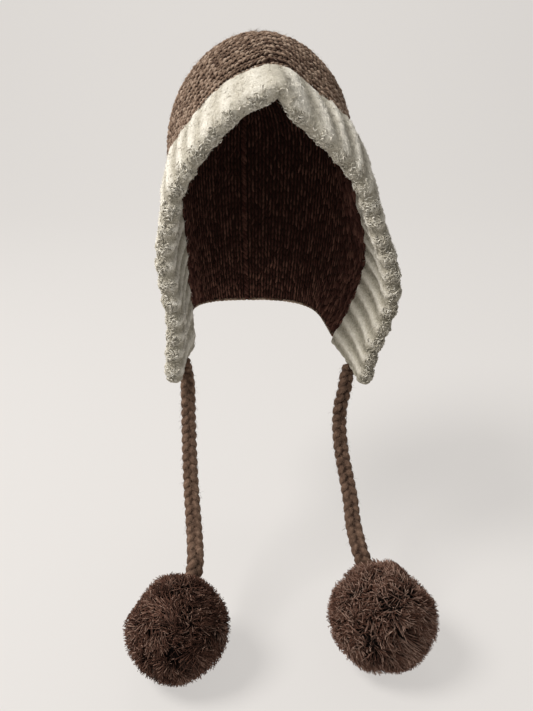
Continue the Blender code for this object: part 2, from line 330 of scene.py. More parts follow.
def yarnTubes(name, paths, normals, radii, sides, material, tint, underShade=0.0):
    # paths and normals are (strands, points, 3), radii (strands, points): one joined mesh.
    # tint is one value a strand or a point; painted shade makes the side away from the normals darker by
    # underShade.
    count, points, _ = paths.shape
    tangent = unit(np.gradient(paths, axis=1))
    binormal = unit(np.cross(tangent, normals))
    normal = np.cross(binormal, tangent)
    angle = np.arange(sides) * 2 * math.pi / sides
    arm = (
        normal[:, :, None, :] * np.cos(angle)[None, None, :, None]
        + binormal[:, :, None, :] * np.sin(angle)[None, None, :, None]
    )
    verts = paths[:, :, None, :] + arm * radii[:, :, None, None]
    quads = tubeQuads(count, points, sides)
    first = np.arange(count)[:, None] * points * sides
    head = first + np.arange(sides)[::-1]
    tail = first + (points - 1) * sides + np.arange(sides)
    share = np.broadcast_to(np.linspace(0, 1, points)[None, :], (count, points))
    shape = (count, points - 1, sides)
    u0 = np.broadcast_to(share[:, :-1, None], shape)
    u1 = np.broadcast_to(share[:, 1:, None], shape)
    v0 = np.broadcast_to(np.arange(sides) / sides, shape)
    v1 = v0 + 1 / sides
    quadUv = np.stack([u0, v0, u0, v1, u1, v1, u1, v0], -1).reshape(-1, 2)
    rim = np.arange(sides) / sides
    headUv = np.tile(np.stack([np.zeros(sides), rim[::-1]], -1), (count, 1))
    tailUv = np.tile(np.stack([np.ones(sides), rim], -1), (count, 1))
    uvs = np.concatenate([quadUv, headUv, tailUv])
    tints = np.broadcast_to(tint.reshape(count, -1), (count, points))[:, :, None]
    tints = tints - underShade * (1 - np.cos(angle)) / 2
    return meshFromFaces(name, verts.reshape(-1, 3), [quads, head, tail], material, uvs, tints.ravel())


def readVertices(piece, key):
    values = np.empty(len(piece.data.vertices) * 3)
    piece.data.vertices.foreach_get(key, values)
    return values.reshape(-1, 3)


def placeVertices(piece, places):
    piece.data.vertices.foreach_set("co", places.ravel())
    piece.data.update()


def gridPiece(name, columns, rows, spot, material):
    # a primitive grid whose points are laid on a surface; spot takes shares from 0 to 1
    bpy.ops.mesh.primitive_grid_add(x_subdivisions=columns, y_subdivisions=rows, size=2)
    piece = bpy.context.object
    piece.name = piece.data.name = name
    shares = (readVertices(piece, "co")[:, :2] + 1) / 2
    placeVertices(piece, spot(shares[:, 0], shares[:, 1]))
    piece.data.materials.append(material)
    return piece


def pickOnly(piece):
    bpy.ops.object.select_all(action="DESELECT")
    piece.select_set(True)
    bpy.context.view_layer.objects.active = piece


def applyAll(piece):
    pickOnly(piece)
    for modifier in list(piece.modifiers):
        bpy.ops.object.modifier_apply(modifier=modifier.name)


def turnOutward(piece):
    pickOnly(piece)
    bpy.ops.object.mode_set(mode="EDIT")
    bpy.ops.mesh.select_all(action="SELECT")
    bpy.ops.mesh.normals_make_consistent(inside=False)
    bpy.ops.object.mode_set(mode="OBJECT")


def softNoise(place, size, seed, waves=7):
    # a smooth random value of about -1 to 1 at each place, with bumps of about that size
    rng = np.random.default_rng(seed)
    total = 0
    for _ in range(waves):
        way = unit(rng.normal(0, 1, 3)) * 2 * math.pi / size * rng.uniform(0.6, 1.3)
        total = total + np.sin(place @ way + rng.uniform(0, 2 * math.pi))
    return total / math.sqrt(waves)


# Materials

def addNode(tree, kind, settings=None, links=None):
    node = tree.nodes.new(kind)
    for key, value in (settings or {}).items():
        if isinstance(key, str) and hasattr(node, key):
            setattr(node, key, value)
        else:
            node.inputs[key].default_value = value
    for key, source in (links or {}).items():
        tree.links.new(source, node.inputs[key])
    return node


# What the yarns have in common. Sizes are in metres, fibre counts are for one strand.
plainYarn = {
    "blotch": 0.010,
    "blotchShare": 0.5,
    "strandShare": 0.7,
    "fibresAlong": 3,
    "fibresRound": 5,
    "bump": 0.6,
    "bumpDepth": 0.0006,
}


def woolMaterial(name, own):
    # Brushed wool: no gloss, a soft sheen from loose fibres, and a colour that shifts
    # from strand to strand.
    look = {**plainYarn, **own}
    material = bpy.data.materials.new(name)
    material.use_nodes = True
    tree = material.node_tree
    shader = tree.nodes["Principled BSDF"]
    tint = addNode(tree, "ShaderNodeAttribute", {"attribute_name": "tint"})
    place = addNode(tree, "ShaderNodeTexCoord")

    def noise(size, detail, roughness):
        settings = {"Scale": 1 / size, "Detail": detail, "Roughness": roughness}
        node = addNode(tree, "ShaderNodeTexNoise", settings, {"Vector": place.outputs["Object"]})
        return node.outputs["Fac"]

    def weighed(source, share, rest):
        settings = {"operation": "MULTIPLY_ADD", 1: share}
        return addNode(tree, "ShaderNodeMath", settings, {0: source, 2: rest}).outputs[0]

    base = addNode(tree, "ShaderNodeValue")
    base.outputs[0].default_value = look["level"]
    spread = weighed(noise(look["blotch"], 4.0, 0.65), look["blotchShare"], base.outputs[0])
    if look.get("fleckSize"):
        # loose fibre ends catch the light in specks of about a millimetre
        spread = weighed(noise(look["fleckSize"], 3.0, 0.7), look["fleckShare"], spread)
    level = weighed(tint.outputs["Fac"], look["strandShare"], spread)
    ramp = addNode(tree, "ShaderNodeValToRGB", {}, {"Fac": level})
    ramp.color_ramp.elements[0].position = 0.15
    ramp.color_ramp.elements[1].position = 0.9
    ramp.color_ramp.elements[0].color = srgb(look["dark"])
    ramp.color_ramp.elements[1].color = srgb(look["light"])
    middle = ramp.color_ramp.elements.new(0.5)
    middle.color = srgb(look["middle"])
    colour = ramp.outputs["Color"]
    if look.get("tipRise"):
        # painted shade: cut yarn is darker down between the strands than at its tips
        share = addNode(tree, "ShaderNodeSeparateXYZ", {}, {"Vector": place.outputs["UV"]})
        low, high = look["tipRise"]
        span = {"From Min": low, "From Max": high, "To Min": look["rootShade"], "To Max": 1.0}
        rise = addNode(tree, "ShaderNodeMapRange", span, {"Value": share.outputs["X"]})
        shade = addNode(tree, "ShaderNodeMix", {"data_type": "RGBA", "blend_type": "MULTIPLY", 0: 1.0})
        tree.links.new(colour, shade.inputs[6])
        tree.links.new(rise.outputs["Result"], shade.inputs[7])
        colour = shade.outputs[2]
    tree.links.new(colour, shader.inputs["Base Color"])
    if look.get("fibreSize"):
        # loose fibres on a plain surface, from its own place
        source, stretch = place.outputs["Object"], [1 / look["fibreSize"]] * 3
    else:
        # fibres that run along the yarn
        source, stretch = place.outputs["UV"], (look["fibresAlong"], look["fibresRound"], 1)
    fibre = addNode(tree, "ShaderNodeMapping", {"Scale": tuple(stretch)}, {"Vector": source})
    strands = addNode(tree, "ShaderNodeTexNoise", {"Scale": 1.0, "Detail": 4.0, "Roughness": 0.6},
                      {"Vector": fibre.outputs[0]})
    bump = addNode(tree, "ShaderNodeBump", {"Strength": look["bump"], "Distance": look["bumpDepth"]},
                   {"Height": strands.outputs["Fac"]})
    tree.links.new(bump.outputs[0], shader.inputs["Normal"])
    shader.inputs["Roughness"].default_value = 0.92
    shader.inputs["Specular IOR Level"].default_value = 0.12
    shader.inputs["Sheen Weight"].default_value = look["sheen"]
    shader.inputs["Sheen Roughness"].default_value = 0.5
    shader.inputs["Sheen Tint"].default_value = srgb(look["light"])
    return material


# plump brushed knitting yarn: matt, with paler fibres that stand off its crowns
brownKnit = woolMaterial("brownWoolKnit", {
    "dark": "#3d2b22", "middle": "#7b6656", "light": "#b9a593",
    "level": -0.07, "fibresRound": 9, "bump": 0.8, "sheen": 0.22})
# the felted wall behind the stitches, nearly black: painted shade in the gaps
knitGapShade = woolMaterial("brownKnitGapShade", {
    "dark": "#1c120d", "middle": "#2a1b14", "light": "#3a281e", "blotch": 0.008, "blotchShare": 0.8,
    "level": 0.1, "strandShare": 0.0, "fibreSize": 0.0015, "bump": 0.7, "sheen": 0.05})
# the reverse of the knit: redder and deeper, since little light gets in
brownInside = woolMaterial("brownWoolInside", {
    "dark": "#2d1712", "middle": "#4e3029", "light": "#825d4f",
    "level": -0.03, "strandShare": 0.5, "fibresRound": 8, "sheen": 0.15})
# milled cream wool: a dense matt face with specks of loose fibre, greyer in the valleys by painted shade
creamRib = woolMaterial("creamWoolRib", {
    "dark": "#5f5a4a", "middle": "#b2ab9b", "light": "#efeade", "blotch": 0.0045, "blotchShare": 0.4,
    "level": -0.32, "strandShare": 0.62, "fleckSize": 0.0014, "fleckShare": 0.65,
    "fibreSize": 0.0013, "bump": 1.0, "bumpDepth": 0.0016, "sheen": 0.2})
# its single loose fibres, a little lighter than the rib
creamFibre = woolMaterial("creamWoolFibre", {
    "dark": "#857e6e", "middle": "#c9c2b4", "light": "#f4f0e6", "blotchShare": 0.3,
    "level": 0.0, "fibresAlong": 2, "fibresRound": 3, "bump": 0.3, "sheen": 0.2})
# looped cream yarn on the fold, with painted shade: bright on top of each loop, darker below
creamCurl = woolMaterial("creamLoopedWool", {
    "dark": "#635d4c", "middle": "#b6af9f", "light": "#efeade", "blotch": 0.006, "blotchShare": 0.4,
    "level": 0.05, "fibresAlong": 4, "sheen": 0.15})
# combed brown strands: fine fibres run along them, with a soft sheen
brownPlait = woolMaterial("brownPlaitYarn", {
    "dark": "#2b1d16", "middle": "#6f5849", "light": "#a68d7a", "blotch": 0.004, "blotchShare": 0.9,
    "level": -0.25, "strandShare": 0.45, "fibresAlong": 90, "fibresRound": 12,
    "bump": 1.0, "bumpDepth": 0.001, "sheen": 0.25})
# cut wool yarn: light at its tips and dark between the strands, by painted shade
brownPile = woolMaterial("brownCutPile", {
    "dark": "#2b1710", "middle": "#654639", "light": "#b99b8a", "blotch": 0.014, "level": -0.1,
    "strandShare": 0.75, "bump": 0.4, "sheen": 0.12, "tipRise": (0.30, 0.95), "rootShade": 0.07})
# the middle of a pompom, in shade
pileGround = woolMaterial("brownPileGround", {
    "dark": "#0d0806", "middle": "#140e0a", "light": "#1f150f", "blotchShare": 0.8,
    "level": 0.1, "strandShare": 0.0, "fibreSize": 0.002, "sheen": 0.0})
print("materials ready")


# The knitted side panels

panelKnit = {
    "rows": 27,
    "stitches": 72,
    "legPoints": 5,
    "legSides": 4,
    "legSpread": (0.05, 0.31),
    "legOverlap": 0.34,
    "legRadius": 0.178,
    "legThickness": (0.66, 0.34),  # at the ends, and how much more in the middle
    "legTint": (0.35, 1),
    "startShade": 0.3,
    "lift": 0.0013,
    "sink": 0.0019,
    "wallThickness": 0.0022,
    "jitter": 0.00018,
    "endShade": 0.9,
    "underShade": 0.9,
    "seamGroove": 0.0012,
    "seamReach": 0.0035,
    "sideJitter": 0.025,
    "rowWidthRange": (0.004, 0.0085),
    "insideLines": 2,
    "insideStitches": 38,
    "insideRadius": 0.0012,
    "insideRise": 0.0006,
    "insideOverlap": 1.25,
    "insideSlant": 0.30,
    "insideHemLight": 0.30,
    "hemStitch": 0.0052,
    "hemOverlap": 1.5,
    "hemTurn": 0.0030,
    "hemLift": 0.0004,
    "hemRadius": (0.0011, 0.0019, 0.0019, 0.0011),
    "seamStitch": 0.0046,
    "seamOverlap": 1.3,
    "seamWidth": 0.0040,
    "seamRadius": (0.0010, 0.0017, 0.0017, 0.0010),
    "hairs": 1500,
    "hairSize": (0.0060, 0.0022, 0.00010),  # length, lift, thickness
    "hairStart": 0.0006,
    "seed": 7,
}


def distanceAlong(line):
    return np.concatenate([[0], np.cumsum(np.linalg.norm(np.diff(line, axis=0), axis=1))])


def rowPlaces(side, count):
    dense = np.linspace(0, 1, 400)
    line = panelSurface(side, dense, np.full_like(dense, hoodForm["earShare"]))
    gone = distanceAlong(line)
    middles = (np.arange(count) + 0.5) / count * gone[-1]
    borders = np.arange(count + 1) / count * gone[-1]
    return np.interp(middles, gone, dense), np.diff(np.interp(borders, gone, dense))


def rowAlong(side, across, shares):
    # turns equal shares of a row's length into the surface's own measure, for every row
    dense = np.linspace(0, 1, 300)
    line = panelSurface(side, across[:, None], dense[None, :])
    out = np.empty((len(across),) + shares.shape)
    for row, points in enumerate(line):
        gone = distanceAlong(points)
        out[row] = np.interp(shares * gone[-1], gone, dense)
    return out


def seamSink(place, normal):
    # the rows dip where they meet in the crown and back seam
    k = panelKnit
    lean = hoodForm["seamLean"] * (place[..., 1] - hoodForm["edgeY"])
    off = np.abs(place[..., 0] - lean)
    dip = k["seamGroove"] * np.exp(-(off / k["seamReach"]) ** 2)
    return place - normal * dip[..., None]


def knitLegs(side, material, name):
    # each stitch is a V of two plump legs; the Vs stand in rows beside the front edge
    k = panelKnit
    rng = np.random.default_rng(k["seed"] + sideSign[side])
    across, width = rowPlaces(side, k["rows"])
    share = np.linspace(0, 1, k["legPoints"])
    start = (np.arange(k["stitches"]) + 0.4) / k["stitches"]
    travel = (share - 0.5) * (1 + k["legOverlap"]) / k["stitches"]
    along = rowAlong(side, across, clamp(start[:, None] + travel[None, :]))
    width = width[:, None, None]
    strands, normals, radii = [], [], []
    for hand in (-1, 1):
        spread = hand * (k["legSpread"][0] + (k["legSpread"][1] - k["legSpread"][0]) * share**0.8)
        s = across[:, None, None] + width * spread[None, None, :]
        s = np.broadcast_to(s, along.shape)
        s = clamp(s + rng.normal(0, k["sideJitter"], along.shape[:2] + (1,)) * width)
        place = panelSurface(side, s, along)
        outward = panelOutward(side, s, along)
        rowWidth = np.linalg.norm(
            panelSurface(side, clamp(s + width / 2), along)
            - panelSurface(side, clamp(s - width / 2), along), axis=-1)
        rise = k["lift"] * np.sin(math.pi * share) ** 0.8 - k["sink"] * share**2.5
        rise = rise[None, None, :] + rng.normal(0, k["jitter"], along.shape[:2] + (1,))
        place = seamSink(place + outward * (k["wallThickness"] / 2 + rise)[..., None], outward)
        place = place + rng.normal(0, k["jitter"], place.shape[:2] + (1, 3))
        size = np.clip(rowWidth, *k["rowWidthRange"]) * k["legRadius"]
        size = size * rng.uniform(0.86, 1.14, along.shape[:2] + (1,))
        thin, gain = k["legThickness"]
        swell = (thin + gain * np.sin(math.pi * share))[None, None, :]
        strands.append(place.reshape(-1, k["legPoints"], 3))
        normals.append(outward.reshape(-1, k["legPoints"], 3))
        radii.append((size * swell).reshape(-1, k["legPoints"]))
    strands, normals, radii = (np.concatenate(part) for part in (strands, normals, radii))
    # a leg is lit in its middle and dark where it dives under the next one
    tint = rng.uniform(*k["legTint"], (len(strands), 1))
    tint = tint - k["endShade"] * share**3 - k["startShade"] * (1 - share) ** 3
    return yarnTubes(name, strands, normals, radii, k["legSides"], material, tint, k["underShade"])


def insideLoops(side, material, name):
    # inside, the yarn runs up and down the rows in long flat loops
    k = panelKnit
    rng = np.random.default_rng(k["seed"] + 20 + sideSign[side])
    across, width = rowPlaces(side, k["rows"] * k["insideLines"])
    share = np.linspace(0, 1, 3)
    start = np.arange(k["insideStitches"])[None, :] + rng.uniform(0, 1, (len(across), 1))
    start = start / k["insideStitches"]
    travel = (share - 0.5) * k["insideOverlap"] / k["insideStitches"]
    along = np.empty((len(across), k["insideStitches"], 3))
    for row in range(len(across)):
        along[row] = rowAlong(side, across[row:row + 1], clamp(start[row][:, None] + travel))[0]
    slant = rng.normal(0, k["insideSlant"], along.shape[:2] + (1,)) * (share - 0.5)
    s = clamp(across[:, None, None] + width[:, None, None] * slant)
    place = panelSurface(side, s, along)
    outward = panelOutward(side, s, along)
    rise = k["insideRise"] * (np.sin(math.pi * share) - 0.5)
    rise = rise + rng.normal(0, k["jitter"], along.shape[:2] + (1,))
    place = place - outward * (k["wallThickness"] / 2 + rise)[..., None]
    radii = k["insideRadius"] * rng.uniform(0.8, 1.2, along.shape[:2] + (1,))
    radii = radii * np.array([0.7, 1.0, 0.7])
    # more light gets in near the hem
    nearHem = clamp((along[..., 1] - 0.80) / 0.20)
    tint = (rng.uniform(0, 1, nearHem.shape) + k["insideHemLight"] * nearHem).ravel()
    return yarnTubes(
        name, place.reshape(-1, 3, 3), -outward.reshape(-1, 3, 3), radii.reshape(-1, 3), 4, material, tint)


def stitchPlaces(dense, line, pitch, overlap):
    # four places for each of the short stitches that follow a line, in the line's own measure
    gone = distanceAlong(line)
    count = int(gone[-1] / pitch)
    share = np.linspace(-0.5, 0.5, 4)
    middle = (np.arange(count) + 0.5) / count
    places = clamp(middle[:, None] + share * overlap / count) * gone[-1]
    return share, np.interp(places, gone, dense)


def hemLoops(side, material, name):
    # the cast-off edge along the neck: one plump loop after the other
    k = panelKnit
    rng = np.random.default_rng(k["seed"] + 40 + sideSign[side])
    dense = np.linspace(0.02, 1, 400)
    line = panelSurface(side, dense, np.ones_like(dense))
    share, s = stitchPlaces(dense, line, k["hemStitch"], k["hemOverlap"])
    place = panelSurface(side, s, np.ones_like(s))
    outward = panelOutward(side, s, np.ones_like(s))
    place = place + outward * (share[None, :, None] * k["hemTurn"])
    place[..., 2] += k["hemLift"]
    radii = np.array(k["hemRadius"]) * rng.uniform(0.9, 1.1, (len(s), 1))
    return yarnTubes(name, place, outward, radii, 5, material, rng.uniform(0.2, 1, len(s)))


def seamLoops(side, material, name):
    # the back seam is whipped together from inside, with one short stitch after the other
    k = panelKnit
    rng = np.random.default_rng(k["seed"] + 50)
    dense = np.linspace(0.02, 0.998, 500)
    line = panelSurface(side, np.ones_like(dense), dense)
    share, along = stitchPlaces(dense, line, k["seamStitch"], k["seamOverlap"])
    place = panelSurface(side, np.ones_like(along), along)
    outward = panelOutward(side, np.ones_like(along), along)
    outward[..., 0] = 0
    place = place - unit(outward) * (k["wallThickness"] / 2 + k["insideRise"])
    place[..., 0] += share[None, :] * k["seamWidth"]
    radii = np.array(k["seamRadius"]) * rng.uniform(0.9, 1.1, (len(along), 1))
    return yarnTubes(name, place, -outward, radii, 5, material, rng.uniform(0.2, 0.9, len(along)))


def hairs(name, place, outward, lay, size, material, rng, tint=None):
    # short tapered fibres: they start in the surface, run along lay and rise a little
    length, lift, thickness = size
    count = len(place)
    run = np.array([0.0, 0.5, 1.0])[None, :, None]
    length = (length * rng.uniform(0.6, 1.4, count))[:, None, None]
    rise = (lift * rng.uniform(0.2, 1.6, count))[:, None, None]
    sway = unit(np.cross(outward, lay)) * (rng.normal(0, 0.25, count))[:, None]
    path = place[:, None, :] + lay[:, None, :] * length * (run - 0.3)
    path = path + outward[:, None, :] * rise * run**1.5 + sway[:, None, :] * length * run**2
    normals = np.broadcast_to(outward[:, None, :], path.shape)
    radii = np.broadcast_to(thickness * np.array([1.0, 0.85, 0.3]), (count, 3)).copy()
    if tint is None:
        tint = rng.uniform(0, 1, count)
    return yarnTubes(name, path, normals, radii, 3, material, tint)


def panelHairs(side, material, name):
    k = panelKnit
    rng = np.random.default_rng(k["seed"] + 60 + sideSign[side])
    across, along = rng.uniform(0, 1, k["hairs"]) ** 1.2, rng.uniform(0, 1, k["hairs"]) ** 1.3
    place, outward = panelSurface(side, across, along), panelOutward(side, across, along)
    lay = unit(np.cross(outward, rng.normal(0, 1, place.shape)))
    place = place + outward * (k["wallThickness"] / 2 + k["lift"] + k["hairStart"])
    return hairs(name, place, outward, lay, k["hairSize"], material, rng)


def makePanel(side):
    k = panelKnit
    tag = side.capitalize()

    def spot(a, b):
        return panelSurface(side, a, b)

    # painted shade: the wall shows near black through the gaps between the stitches
    wall = gridPiece("knitWall" + tag, 40, 44, spot, knitGapShade)
    shell = wall.modifiers.new("thickness", "SOLIDIFY")
    shell.thickness = k["wallThickness"]
    shell.offset = 0
    applyAll(wall)
    turnOutward(wall)
    wall.data.shade_smooth()
    pieces = [
        knitLegs(side, brownKnit, "knitStitches" + tag),
        insideLoops(side, brownInside, "insideLoops" + tag),
        hemLoops(side, brownKnit, "neckHem" + tag),
        panelHairs(side, brownKnit, "panelHairs" + tag),
    ]
    if side == "left":
        pieces.append(seamLoops(side, brownInside, "seamStitches"))
    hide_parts("hood_panel_" + side)
    for piece in (wall, *pieces):
        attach(piece, "root")


# The ribbed cuff

cuffKnit = {
    "flank": 0.38,  # shares of the way round a section
    "fold": 0.14,
    "lip": 0.10,
    "stationsPerRib": 14,
    "rearHalf": 0.0054,
    "rollHalf": 0.0078,
    "bow": 0.0020,
    "ribDepth": 0.0015,
    "rollDepth": 0.0007,
    "ribSharpness": 2.2,
    "rearFade": 0.30,
    "flatTop": {"left": 0.75, "right": 0.40},
    "lipBack": 0.0028,
    "lipScallop": 0.0006,
    "endRound": 0.0045,
    "sectionPoints": (22, 12, 22, 7),
    "mottle": 0.00035,
    "ribTint": (0.40, 0.60),  # in the valleys, and how much more on the crests
    "foldShade": 0.24,
    "endTint": 0.6,
    "lowShade": {"left": 0.24, "right": 0.03},
    "lowShadeSpan": (0.45, 0.30),  # where it starts, and over how much it grows
    "flatTopSpan": (0.12, 0.35),
    "curlsPerRib": 74,
    "curlPoints": 6,
    "curlSides": 3,
    "curlLength": (0.0036, 0.0068),
    "curlHeight": (0.0004, 0.0014),
    "curlRadius": (0.00042, 0.00070),
    "curlBend": (1.8, 4.4),
    "curlSink": 0.0003,
    "curlMiddle": 0.466,
    "curlShift": {"left": 0.020, "right": 0.036},
    "curlBand": 0.030,
    "curlZone": (0.33, 0.58),
    "curlCrowd": (0.18, 0.82),  # in the valleys, and how much more on the crests
    "curlWander": 0.6,
    "curlTint": (0.55, 1.15),
    "curlRootShade": 0.4,
    "hairCount": 6000,
    "hairTurn": 0.40,
    "hairSize": (0.0045, 0.0009, 0.00022),
    "seed": 21,
}


def lowShade(side, along):
    # painted shade: the wool is darker towards the tips, where less light falls on it
    start, over = cuffKnit["lowShadeSpan"]
    return cuffKnit["lowShade"][side] * clamp((along - start) / over)


def ribPhase(along):
    return (clamp(along) ** (1 / hoodForm["ribPower"]) * hoodForm["ribsPerSide"]) % 1.0


def ribSwell(along):
    return 2 * np.sin(math.pi * ribPhase(along)) ** cuffKnit["ribSharpness"] - 1


def ribStrength(side, along):
    # the ribs are pulled nearly flat over the brow and stand up lower down
    flat = cuffKnit["flatTop"][side]
    start, over = cuffKnit["flatTopSpan"]
    x = clamp((along - start) / over)
    return flat + (1 - flat) * x * x * (3 - 2 * x)


def ribHeight(side, along):
    return ribSwell(along) * ribStrength(side, along)


def cuffSkin(side, along, around, shrink=1.0, shift=0.0):
    # around runs 0 to 1: outer flank from the rear, front fold, inner flank, rear lip
    c = cuffKnit
    along, around = np.broadcast_arrays(np.asarray(along, float), np.asarray(around, float))
    shrink, shift = np.broadcast_to(shrink, along.shape), np.broadcast_to(shift, along.shape)
    edge, roll, forward, outward, down = cuffFrame(side, along)
    swell = ribHeight(side, along)
    length = np.linalg.norm(roll - edge, axis=-1)
    flank, fold, lip = c["flank"], c["fold"], c["lip"]
    outerPart = around < flank
    foldPart = (around >= flank) & (around < flank + fold)
    innerPart = (around >= flank + fold) & (around < 2 * flank + fold)
    way = np.where(innerPart, 1 - (around - flank - fold) / flank, 1.0)
    way = clamp(np.where(outerPart, around / flank, way))
    half = c["rearHalf"] + (c["rollHalf"] - c["rearHalf"]) * way**1.5
    fade = c["rearFade"] + (1 - c["rearFade"]) * clamp(way / 0.35)
    ribNow = (c["ribDepth"] + (c["rollDepth"] - c["ribDepth"]) * way**4) * fade
    face = np.where(outerPart, 1.0, -1.0)
    bow = c["bow"] * np.sin(math.pi * way)
    height = (half + swell * ribNow) * shrink
    lipStart = 0.002 - c["lipScallop"] * (swell + 1) / 2
    reach = lipStart + (length - lipStart) * way
    flat = edge + forward * reach[..., None] + outward * (bow + face * height)[..., None]
    turn = math.pi / 2 - math.pi * clamp((around - flank) / fold)
    rollRadius = (c["rollHalf"] + swell * c["rollDepth"]) * shrink
    folded = roll + forward * (np.cos(turn) * rollRadius)[..., None]
    folded = folded + outward * (np.sin(turn) * rollRadius)[..., None]
    lipTurn = math.pi / 2 + math.pi * clamp((1 - around) / lip)
    lipRadius = (c["rearHalf"] + swell * c["ribDepth"] * c["rearFade"]) * shrink
    lipReach = lipStart + np.cos(lipTurn) * (c["lipBack"] + lipRadius * 0.4) * 0.8
    back = edge + forward * lipReach[..., None]
    back = back + outward * (np.sin(lipTurn) * lipRadius)[..., None]
    place = np.where((outerPart | innerPart)[..., None], flat, back)
    place = np.where(foldPart[..., None], folded, place)
    return place + down * shift[..., None]


def cuffOutward(side, along, around):
    small = 0.004
    a0, a1 = beside(around, small)
    b0, b1 = beside(along, small)
    a = cuffSkin(side, along, a1) - cuffSkin(side, along, a0)
    b = cuffSkin(side, b1, around) - cuffSkin(side, b0, around)
    return unit(np.cross(a, b)) * sideSign[side]


def curlDensity(side, along, around):
    # curls crowd on the crest of each rib where it turns over the fold
    crest = np.sin(math.pi * ribPhase(along)) ** 4
    c = cuffKnit
    middle = c["curlMiddle"] - c["curlShift"][side] * clamp(along / 0.6)
    low, gain = c["curlCrowd"]
    return (low + gain * crest) * np.exp(-((around - middle) / c["curlBand"]) ** 2)


def makeCuffBody():
    c = cuffKnit
    borders = (0, c["flank"], c["flank"] + c["fold"], 1 - c["lip"], 1)
    around = np.concatenate([
        np.linspace(low, high, points)[:-1]
        for low, high, points in zip(borders, borders[1:], c["sectionPoints"])])
    steps = hoodForm["ribsPerSide"] * c["stationsPerRib"]
    stations = (np.arange(steps + 1) / steps) ** hoodForm["ribPower"]
    closing = np.sin(np.linspace(0, 0.48, 6)[1:] * math.pi)
    rings, tints = [], []
    for side in ("right", "left"):
        body = cuffSkin(side, stations[:, None], around[None, :])
        valley = (ribHeight(side, stations)[:, None] + 1) / 2
        low, gain = c["ribTint"]
        # painted shade: the cuff is darker in the rib valleys, under the loops on the fold and towards the
        # tips
        tint = low + gain * valley - c["foldShade"] * curlDensity(side, stations[:, None], around[None, :])
        tint -= lowShade(side, stations)[:, None]
        ends = [
            cuffSkin(side, np.full_like(around, 1.0), around, math.sqrt(1 - q * q), q * c["endRound"])
            for q in closing]
        line = np.concatenate([body, np.array(ends)])
        tint = np.concatenate([tint, np.full((len(ends), len(around)), c["endTint"] - lowShade(side, 1.0))])
        rings.append(line[:0:-1] if side == "right" else line)
        tints.append(tint[:0:-1] if side == "right" else tint)
    rings, tints = np.concatenate(rings), np.concatenate(tints)
    count, spots = rings.shape[:2]
    caps = np.stack([np.arange(spots)[::-1], (count - 1) * spots + np.arange(spots)])
    faces = [tubeQuads(1, count, spots), caps]
    body = meshFromFaces("cuffBody", rings.reshape(-1, 3), faces, creamRib, tint=tints.ravel().clip(0, 1))
    turnOutward(body)
    skin, normals = readVertices(body, "co"), readVertices(body, "normal")
    lumps = softNoise(skin, 0.009, 3) + 0.7 * softNoise(skin, 0.0045, 4)
    lumps = lumps + 0.5 * softNoise(skin, 0.003, 5, 11)
    placeVertices(body, skin + normals * (c["mottle"] * lumps)[:, None])
    return body


def makeCurls():
    # looped pile: each loop comes out of the rib, wanders over the fold and dives back in
    c = cuffKnit
    rng = np.random.default_rng(c["seed"])
    share = np.linspace(0, 1, c["curlPoints"])
    arch = np.sin(math.pi * share) ** 0.8
    strands, normals, radii, tints = [], [], [], []
    for side in ("left", "right"):
        count = hoodForm["ribsPerSide"] * c["curlsPerRib"]
        along, around = np.empty(0), np.empty(0)
        while len(along) < count:
            a = rng.uniform(0, 1, count * 3) ** hoodForm["ribPower"]
            r = rng.uniform(*c["curlZone"], count * 3)
            keep = rng.uniform(0, 1, count * 3) < curlDensity(side, a, r)
            along, around = np.append(along, a[keep]), np.append(around, r[keep])
        along, around = along[:count], around[:count]
        place = cuffSkin(side, along, around)
        outward = cuffOutward(side, along, around)
        down = cuffFrame(side, along)[4]
        across = unit(np.cross(outward, down))
        bend = rng.uniform(*c["curlBend"], count) * rng.choice([-1, 1], count)
        heading = rng.uniform(0, 2 * math.pi, count)[:, None] + bend[:, None] * (share - 0.5)
        heading = heading + rng.normal(0, c["curlWander"], count)[:, None] * np.sin(2 * math.pi * share)
        step = rng.uniform(*c["curlLength"], count)[:, None] / (c["curlPoints"] - 1)
        gone = np.stack([np.cumsum(np.cos(heading) * step, 1), np.cumsum(np.sin(heading) * step, 1)], -1)
        gone = gone - gone.mean(1, keepdims=True)
        height = rng.uniform(*c["curlHeight"], count)[:, None] * arch - c["curlSink"]
        loop = place[:, None, :] + down[:, None, :] * gone[..., :1]
        loop = loop + across[:, None, :] * gone[..., 1:]
        loop = loop + outward[:, None, :] * height[..., None]
        strands.append(loop)
        normals.append(np.broadcast_to(outward[:, None, :], loop.shape))
        radii.append(rng.uniform(*c["curlRadius"], count)[:, None] * (0.7 + 0.3 * arch))
        # painted shade: a loop is darker low down, on its underside and towards the tips
        own = rng.uniform(*c["curlTint"], count) - 0.5 * lowShade(side, along)
        tints.append(own[:, None] - c["curlRootShade"] * (1 - height / c["curlHeight"][1]))
    strands, normals, radii, tints = (np.concatenate(part) for part in (strands, normals, radii, tints))
    return yarnTubes("cuffLoops", strands, normals, radii, c["curlSides"], creamCurl, tints, 0.25)


